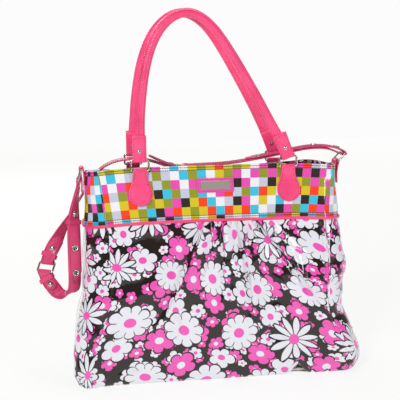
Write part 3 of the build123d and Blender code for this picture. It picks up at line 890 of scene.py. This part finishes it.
def make_tab(side, face, hand):
    """A keystone tab: flat on the band, folded over the ring's lower bar at its top."""
    drop, half_top, half_wide = 53.0, 10.5, 18.5
    heights = np.r_[np.linspace(0.0, 8.0, 9), np.linspace(9.5, drop - 12, 12)]
    z = PIVOT_Z - drop + heights
    face_y = PROFILE[-1, 2] / 2 + (TOP_Z - z) * BAND_SLOPE
    round_end = np.sqrt(np.maximum(half_wide ** 2 - (half_wide - np.minimum(heights, half_wide)) ** 2, 0.05))
    taper = np.interp(heights, [half_wide, half_wide + 6, drop - 12, drop], [half_wide, 17.6, 11.8, half_top])
    half = np.where(heights < half_wide, round_end, taper)
    bar = bar_y(side)
    arc = fold_round((bar, PIVOT_Z), side, range(-20, 200, 20))
    behind = [(bar - side * (BAR_FOLD + 0.2), PIVOT_Z - 4), (bar - side * (BAR_FOLD + 0.4), PIVOT_Z - 9)]
    yz = np.vstack([np.c_[side * (face_y + 1.5), z], arc, behind])
    half = np.r_[half, np.full(len(arc) + len(behind), half_top)]
    path = np.c_[np.full(len(yz), tab_x(face, hand)), yz]
    across = alike((1, 0, 0), path)
    sewn, lift = slice(2, 22), side * 1.35
    seam = np.maximum(half[sewn] - TAB_SEAM, 0.5)
    lines = []
    for sign in (-1, 1):
        line, normal = edge_line(path[sewn], across[sewn], sign * seam, lift)
        lines.append((line, normal * side))
    last = len(heights) - 4
    offsets = np.linspace(-half[last] + 2.5, half[last] - 2.5, 10)
    row = path[last] + np.c_[offsets, np.full(10, lift), np.zeros(10)]
    lines.append((row, alike((0, side, 0), row)))
    name = f"{face}_{hand}_tab"
    add(name + "_leather", strip(path, across, 2 * half, 2.4, 0.25), "bag", "pink", name)
    sew(name, lines, "bag")


# --- shoulder strap ---

LINK_YAW, LINK_LEAN = radians(28.0), radians(40.0)
LINK = np.array([cos(LINK_YAW), -sin(LINK_YAW), 0.0])
LINK_UP = np.array([sin(LINK_YAW) * sin(LINK_LEAN), cos(LINK_YAW) * sin(LINK_LEAN), cos(LINK_LEAN)])
LINK_LOW = np.array([-266, 0, 170])
LINK_HIGH = LINK_LOW + LINK_UP * RING_REACH
LEFT_BAR, RIGHT_BAR = np.array([(-208, -8, 316.9), (214.8, 2, 345.3)])
LEFT_TAB, RIGHT_TAB = np.array([(-203.4, -8, 333), (203.4, 2, 333)])
TOP_LINK_LEFT, TOP_LINK_RIGHT = np.array([(-60, 6, 331), (-43.3, 6, 330)])
SIDEWAYS, FORWARD, FACE = (0, 1, 0), (0, -1, 0), (0.86, 0.5, 0)


def level(across, points):
    """Stations that all lie across the same way."""
    return np.array([(*point, *across) for point in points])


# Routes of the strap: a point on its middle line, and the direction across it.
LEFT_DOUBLE = [
    (-208.2, -8, 310, *SIDEWAYS), (-213, -12, 289, 0.25, 0.97, 0), (-217, -18, 264, 0.62, 0.78, 0),
    (-218, -25, 238, *FACE), (-218, -28, 200, *FACE), (-218, -28, 158, *FACE),
]
LEFT_SINGLE = [
    (-219, -28, 152, *FACE), (-224, -26, 144, 0.75, 0.6, -0.25), (-233, -21, 136.5, 0.4, 0.85, 0.3),
    (-243, -14, 136, 0.5, 0.75, 0.4), (-250, -9, 141.5, 0.75, 0.3, 0.45),
]
LEFT_END = [(-265, 0, 164, *LINK), (-262, -2, 157, *LINK), (-251, -8.4, 142.6, 0.8, 0.2, 0.4)]
LOWER_END = [(-260.8, 10, 187, *-LINK), (-257, 13, 197, *-LINK), (-248, 15.2, 212, -0.85, -0.1, 0.4),
             (-241, 16.5, 225, -0.8, -0.4, 0.4)]
LOWER_RUN = [(-245, 15.8, 217.5, -0.8, -0.4, 0.4), (-236, 18, 234, -0.6, -0.75, 0.3),
             (-220, 20, 259.5, -0.3, -0.95, 0.1), (-207.4, 20.5, 280.6, 0, -1, 0)]
UPPER_RUN = level(SIDEWAYS, [
    (-207.4, 20.5, 280.6), (-198, 20, 296), (-186, 18, 315), (-171, 13.5, 332), (-150, 9, 342),
    (-124, 6.5, 345), (-98, 6, 342), (-78, 6, 334.5), (-67, 6, 330.6),
])
UPPER_END = level(SIDEWAYS, [(-67, 6, 334.4), (-82, 6, 341), (-98, 6, 349)])
RIGHT_END = level(FORWARD, [(-36, 5.8, 330.3), (-24, 5.5, 330.9), (-8, 5, 331.7)])
RIGHT_RUN = level(FORWARD, [
    (-8, 5, 331.7), (22, 4.5, 333), (55, 4.5, 337), (90, 4.5, 342.5), (129, 4.5, 350), (160, 4, 355),
    (186, 3, 354.2), (203, 2, 347.8), (209, 2, 344.4),
])
RIGHT_FOLD_BACK = level(FORWARD, [
    (211, 2, 350.5), (204, 2, 353.8), (186, 3, 357.6), (160, 4, 357.8), (129, 4.5, 352.8), (90, 4.5, 345.3),
    (56, 4.5, 339.9),
])


def plies(stations):
    """Both plies of a doubled run, first the one on the side that the snaps are on."""
    run = np.array(stations, float)
    off = ribbon_axes(run[:, :3], run[:, 3:])[1] * PLY_GAP / 2
    return [np.c_[run[:, :3] + sign * off, run[:, 3:]] for sign in (1, -1)]


def round_bar(bar, axis, first, last):
    """Stations of the strap where it passes round a bar, between two neighbours."""
    axis = unit(np.asarray(axis, float))
    rays = np.array([first[:3], last[:3]]) - bar
    a, b = unit(rays - axis * (rays @ axis)[:, None])
    far = -unit(a + b)
    swing = unit(np.array([a * 0.9 - b * 0.35 + far * 0.45, far + (a - b) * 0.45, far,
                           far + (b - a) * 0.45, b * 0.9 - a * 0.35 + far * 0.45]))
    return np.array([(*(bar + s * (BAR_FOLD + 0.2)), *first[3:]) for s in swing])


def strap_piece(run, tips):
    """Verts, faces and stitch lines of a strap along a route. tips says which ends are cut to a point."""
    fine = round_corners(run, 3)
    path, across = fine[:, :3], unit(fine[:, 3:])
    steps = lengths_along(path)
    width = np.full(len(path), STRAP_W)
    for flag, ahead in zip(tips, (steps, steps[-1] - steps)):
        if flag:
            width = np.minimum(width, TIP_W + (STRAP_W - TIP_W) * np.clip(ahead / TIP, 0, 1))
    seam, bed = width / 2 - STRAP_SEAM, STRAP_T / 2 + 0.08
    lines = []
    for edge in (-1, 1):
        for face in (-1, 1):
            line, normal = edge_line(path, across, edge * seam, face * bed)
            lines.append((line, normal * face))
    return strip(path, across, width, STRAP_T, 0.1), lines


def strap(name, run, tips, node, body, *blend):
    """One strap piece with the stitches along its edges, on one body, or on none with its transform baked in
    when blend is given.
    """
    ribbon, lines = strap_piece(np.vstack(run), tips)
    # the strap's darker pink is painted shade
    add(name, ribbon, body, "shaded_pink", node)
    sew(name, lines, body, 3.6, 2.9, 0.75)
    if blend:
        for piece in (name, name + "_stitches"):
            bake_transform(bpy.data.objects[piece])


def make_straps():
    outer, inner = plies(LEFT_DOUBLE)
    end_out, end_in = plies(LEFT_END)
    run = [outer[::-1], round_bar(LEFT_BAR, SIDEWAYS, outer[0], inner[0]), inner[:-1], LEFT_SINGLE,
           end_in[1::-1], round_bar(LINK_LOW, LINK, end_in[0], end_out[0]), end_out]
    strap("strap_left_leather", run, (1, 1), "strap_left", "strap_loop")
    run_out, run_in = plies(LOWER_END)
    run = [run_out[::-1], round_bar(LINK_HIGH, LINK, run_out[0], run_in[0]), run_in[:2], LOWER_RUN]
    cut = (-0.2074, 0.0205, 0.2806)
    strap("strap_lower_leather", run, (1, 0), "strap_middle_lower", None,
          "strap_loop", "left_ring", (-0.236, 0.018, 0.235), cut)
    run = [UPPER_RUN, round_bar(TOP_LINK_LEFT, SIDEWAYS, UPPER_RUN[-1], UPPER_END[0]), UPPER_END]
    strap("strap_upper_leather", run, (0, 1), "strap_middle_upper", None,
          "left_ring", "bag", cut, (-0.186, 0.018, 0.316))
    end_top, end_low = plies(RIGHT_END)
    run = [end_top[::-1], round_bar(TOP_LINK_RIGHT, SIDEWAYS, end_top[0], end_low[0]), end_low[:2],
           RIGHT_RUN[1:], round_bar(RIGHT_BAR, SIDEWAYS, RIGHT_RUN[-1], RIGHT_FOLD_BACK[0]), RIGHT_FOLD_BACK]
    strap("strap_right_leather", run, (0, 1), "strap_right", "bag")


def make_side_tab(name, bar, end):
    """A short strap end sewn to the gusset, folded round the side ring."""
    down = [(end * 203.5, 298.0), (end * 202.6, 314.0), (end * 204.6, 326.0)]
    arc = fold_round(bar[::2], end, range(-10, 200, 30))
    xz = np.vstack([down, arc, [(end * 199.5, 326.0), (end * 199.0, 316.0)]])
    path = round_corners(np.c_[xz[:, 0], np.full(len(xz), bar[1]), xz[:, 1]], 2)
    across = alike(SIDEWAYS, path)
    add(name + "_leather", strip(path, across, 20.0, 2.0, 0.1), "bag", "pink", name)
    seam, bed = 7.8, 1.1
    lines = [edge_line(path, across, edge * seam, face * bed) for edge in (-1, 1) for face in (-1, 1)]
    sew(name, lines, "bag")


# --- small fittings ---

# Outlines of turned pieces: radius, and height over the middle or over the cloth.
SOCKET = [(0.4, -0.6), (2.0, -0.6), (2.4, -0.2), (3.0, -0.5), (3.5, 0.5), (4.2, 1.0), (4.9, 0.9),
          (5.5, 0.2), (5.6, -0.9)]
# a dark disc down in a socket's hollow: painted shade
SHADE_DISC = [(0.1, -0.45), (3.1, -0.3)]
CAP = [(0.2, 1.5), (1.6, 1.35), (3.0, 0.9), (4.0, 0.2), (4.7, -0.7), (4.7, -0.9)]
MAGNET = [(0.5, 2.6), (3.0, 2.6), (3.2, 1.6), (4.4, 1.6), (4.8, 2.4), (8.2, 2.2), (9.0, 1.2), (9.0, 0.0)]


def make_plate_rim():
    """A raised rim round the blank nameplate."""
    low, high = box("nameplate")
    reach_x, reach_z, r = (high[0] - low[0]) / 2 - 2.0, 4.4, 1.2
    corners = [(sx * reach_x + r * cos(a), sz * reach_z + r * sin(a))
               for sx, sz, start in ((1, 1, 0), (-1, 1, 90), (-1, -1, 180), (1, -1, 270))
               for a in np.radians([start, start + 30, start + 60, start + 90])]
    x, z = np.transpose(corners) + np.reshape((low + high) / 2, (3, 1))[[0, 2]]
    proud, slope = 0.55, 0.215
    line = np.c_[x, low[1] + proud + (z - low[2]) * slope, z]
    add("nameplate_rim", cord(line, alike((0, -1, -0.2), line), 0.9, 8, closed=True), "bag", "steel")


def make_patch_stitches():
    low, high = box("nameplate_patch")
    xs = np.linspace(low[0] + 1.8, high[0] - 1.8, 30)
    zs = np.linspace(low[2] + 1.8, high[2] - 1.8, 12)
    edges = [(xs, np.full(len(xs), z)) for z in (zs[0], zs[-1])]
    edges += [(np.full(len(zs), x), zs) for x in (xs[0], xs[-1])]
    lines = [np.c_[x, low[1] + (z - low[2]) * BAND_SLOPE - 0.1, z] for x, z in edges]
    sew("patch", [(line, alike((0, -1, 0.1), line)) for line in lines], "bag", 2.6, 1.8, 0.4)


def make_magnets():
    """The closure's two discs, on the facing inside the mouth."""
    for node, span in (("magnet_socket", FRONT), ("magnet_stud", BACK)):
        middle = (span[0] + span[1]) // 2
        outer, inner = (cloth([MAGNET_Z], inset)[0][middle] for inset in (3.4, 5.4))
        add(node + "_disc", turned(MAGNET, outer, inner - outer), "bag", "nickel", node)


def discs(node):
    """Middle and flat direction of each disc of a CAD node, in millimetres. A disc is what lies
    near its first vertex, taken again round its own middle until it is whole."""
    points = np.array([v.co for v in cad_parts[node].data.vertices]) / MM
    found = []
    while len(points):
        near = np.linalg.norm(points - points[0], axis=1) < SNAP_REACH
        for _ in range(2):
            near = np.linalg.norm(points - points[near].mean(0), axis=1) < SNAP_REACH
        disc, points = points[near], points[~near]
        found.append(((disc.min(0) + disc.max(0)) / 2, np.linalg.svd(disc - disc.mean(0))[2][2]))
    return found


def make_snaps(node, body, facings, outline):
    """Turned snaps in place of a CAD node's plain discs, each facing as the nearest of facings."""
    parts, shade_discs = [], []
    for middle, axis in discs(node):
        facing = min(facings, key=lambda f: np.linalg.norm(np.array(f[0]) - middle))[1]
        axis = axis * np.sign(np.dot(axis, facing))
        parts.append(turned(outline, middle, axis))
        shade_discs.append(turned(SHADE_DISC, middle, axis))
    add(node + "_turned", merged(parts), body, "nickel", node)
    # each socket gets a dark disc in its hollow, painted shade
    if outline is SOCKET:
        add(node + "_shade_discs", merged(shade_discs), body, "hollow_shade")


def finish_nodes(look, rounding, *names):
    """Gives CAD nodes that stay their own material, and rounds their edges."""
    for name in names:
        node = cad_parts[name]
        node.data.materials.clear()
        node.data.materials.append(LOOKS[look][0])
        if rounding:
            bevel = node.modifiers.new("edges", "BEVEL")
            bevel.width, bevel.segments, bevel.limit_method = rounding * MM, 2, "ANGLE"


# --- stage ---

def make_camera():
    azimuth, elevation, roll = radians(-8.0), radians(11.0), radians(-0.5)
    back = Vector((sin(azimuth) * cos(elevation), -cos(azimuth) * cos(elevation), sin(elevation)))
    right = Vector((cos(azimuth), sin(azimuth), 0.0))
    up = back.cross(right)
    data = bpy.data.cameras.new("camera")
    data.angle = radians(27.45)
    camera = bpy.data.objects.new("camera", data)
    bpy.context.scene.collection.objects.link(camera)
    turned_right = right * cos(roll) + up * sin(roll)
    turned_up = up * cos(roll) - right * sin(roll)
    turn = Matrix((turned_right, turned_up, back)).transposed().to_4x4()
    camera.matrix_world = Matrix.Translation(Vector((-0.0185, 0.0, 0.276)) + back * 1.3) @ turn
    bpy.context.scene.camera = camera


def make_light(name, place, size, power):
    """A lamp that is aimed at the bag's middle."""
    data = bpy.data.lights.new(name, "AREA")
    data.shape = "RECTANGLE"
    data.size, data.size_y = size
    data.energy = power
    light = bpy.data.objects.new(name, data)
    bpy.context.scene.collection.objects.link(light)
    light.location = place
    light.rotation_euler = (Vector(place) - Vector((0.0, 0.0, 0.2))).to_track_quat("Z", "Y").to_euler()


def make_stage():
    bpy.context.scene.view_settings.view_transform = "Standard"
    world = bpy.data.worlds.new("studio")
    bpy.context.scene.world = world
    world.use_nodes = True
    nodes, links = world.node_tree.nodes, world.node_tree.links
    back = nodes["Background"]
    path = nodes.new("ShaderNodeLightPath")
    strength = nodes.new("ShaderNodeMapRange")
    links.new(path.outputs["Is Camera Ray"], strength.inputs["Value"])
    strength.inputs["To Min"].default_value = 0.24    # light on the bag
    strength.inputs["To Max"].default_value = 0.97    # background
    links.new(strength.outputs["Result"], back.inputs["Strength"])
    back.inputs["Color"].default_value = (1.0, 1.0, 1.0, 1.0)
    g = Graph("floor_paper")
    x, y, _ = g.split(g.place())
    far = g.step(g.length(x, y), 0.5, 3.5)
    paper = g.finish(
        Base_Color=g.mix(g.noise(g.place(), 3.0), colour("6E6E6D"), colour("737372")), Roughness=0.9,
        Emission_Color=(1.0, 1.0, 0.995, 1.0), Emission_Strength=g.scaled(far, 0.12, 0.82),
        Specular_IOR_Level=0.1,
    )
    size = 3000.0
    corners = [(-size, -size, 0), (size, -size, 0), (size, size, 0), (-size, size, 0)]
    floor = new_piece("floor", corners, [(0, 1, 2, 3)])
    floor.data.materials.append(paper)
    make_light("key", (-1.1, -1.7, 1.5), (0.5, 0.5), 27.0)
    make_light("fill", (1.5, -1.4, 0.9), (0.2, 1.1), 9.0)
    make_light("top", (0.1, 0.2, 2.0), (1.2, 0.8), 12.0)
    make_light("rear", (-0.6, 1.8, 1.2), (1.2, 1.0), 10.0)


def make_looks():
    """The material and the slot of each look."""
    pink, nickel = "pink_leather", "nickel"
    return {
        "floral": (floral_laminate(), "floral_laminate"),
        "mosaic": (mosaic_laminate(), "mosaic_laminate"),
        "pink": (leather("pink_leather", PINK, PINK_DARK), pink),
        # straps and keepers: the pink leather made darker all over, painted shade for their shaded faces
        "shaded_pink": (leather("shaded_strap_leather", "E5447C", "C93267"), pink),
        "magenta": (leather("magenta_leather", "EE55AE", MAGENTA), None),
        "nickel": (metal("nickel", "B9B5AE", 0.10), nickel),
        "steel": (metal("brushed_plate", "C2BAAC", 0.34, brushed=True), "brushed_plate"),
        "hollow_shade": (metal("painted_hollow_shade", "4A4642", 0.35), nickel),
        # dark nickel for the sockets' hollows, painted shade
        "thread": (thread("dark_thread", THREAD), None),
        "lining": (woven("lining_cloth", "D9D3DD", "F1EDF3"), "lining_cloth"),
        "board": (woven("stiff_board", "8D8378", "A39889", 0.8), None),
        "rope": (woven("cotton_rope", "EDE6D6", "D8CFBC", 0.9), "cotton_rope"),
    }


def make_all():
    make_camera()
    make_stage()
    make_panels()
    make_base()
    make_inside()
    make_band_trim()
    for side, face in ((-1, "front"), (1, "back")):
        make_handle(side, face)
        for hand in ("left", "right"):
            make_tab(side, face, hand)
        finish_nodes("nickel", 0, face + "_left_ring", face + "_right_ring", face + "_handle_rivets")
    make_straps()
    make_side_tab("left_side_tab", LEFT_TAB, -1)
    make_side_tab("right_side_tab", RIGHT_TAB, 1)
    make_plate_rim()
    make_patch_stitches()
    make_magnets()
    outward = [((-218, -28, 200), (0.5, -0.86, 0)), ((-209, -8, 300), (-1, -0.1, 0.1))]
    make_snaps("strap_left_snaps", "strap_loop", outward, SOCKET)
    make_snaps("strap_right_snaps", "bag", [((130, 4, 350), (0, 0, 1))], SOCKET)
    link_side = [((-258, -6, 150), (-0.3, -0.9, 0.2)), ((-252, 13, 208), (-0.3, -0.9, 0.2))]
    make_snaps("link_snap_caps", "strap_loop", link_side, CAP)
    finish_nodes("nickel", 0, "left_side_ring", "right_side_ring", "left_link_ring", "top_link_ring")
    # keepers in the strap's darker pink, painted shade
    finish_nodes("shaded_pink", 0.6, "strap_left_keeper", "left_link_keeper", "lower_link_keeper")
    finish_nodes("magenta", 0.5, "nameplate_patch")
    finish_nodes("steel", 0.3, "nameplate")
    finish_nodes("board", 0.4, "base_board")


LOOKS = make_looks()
make_all()
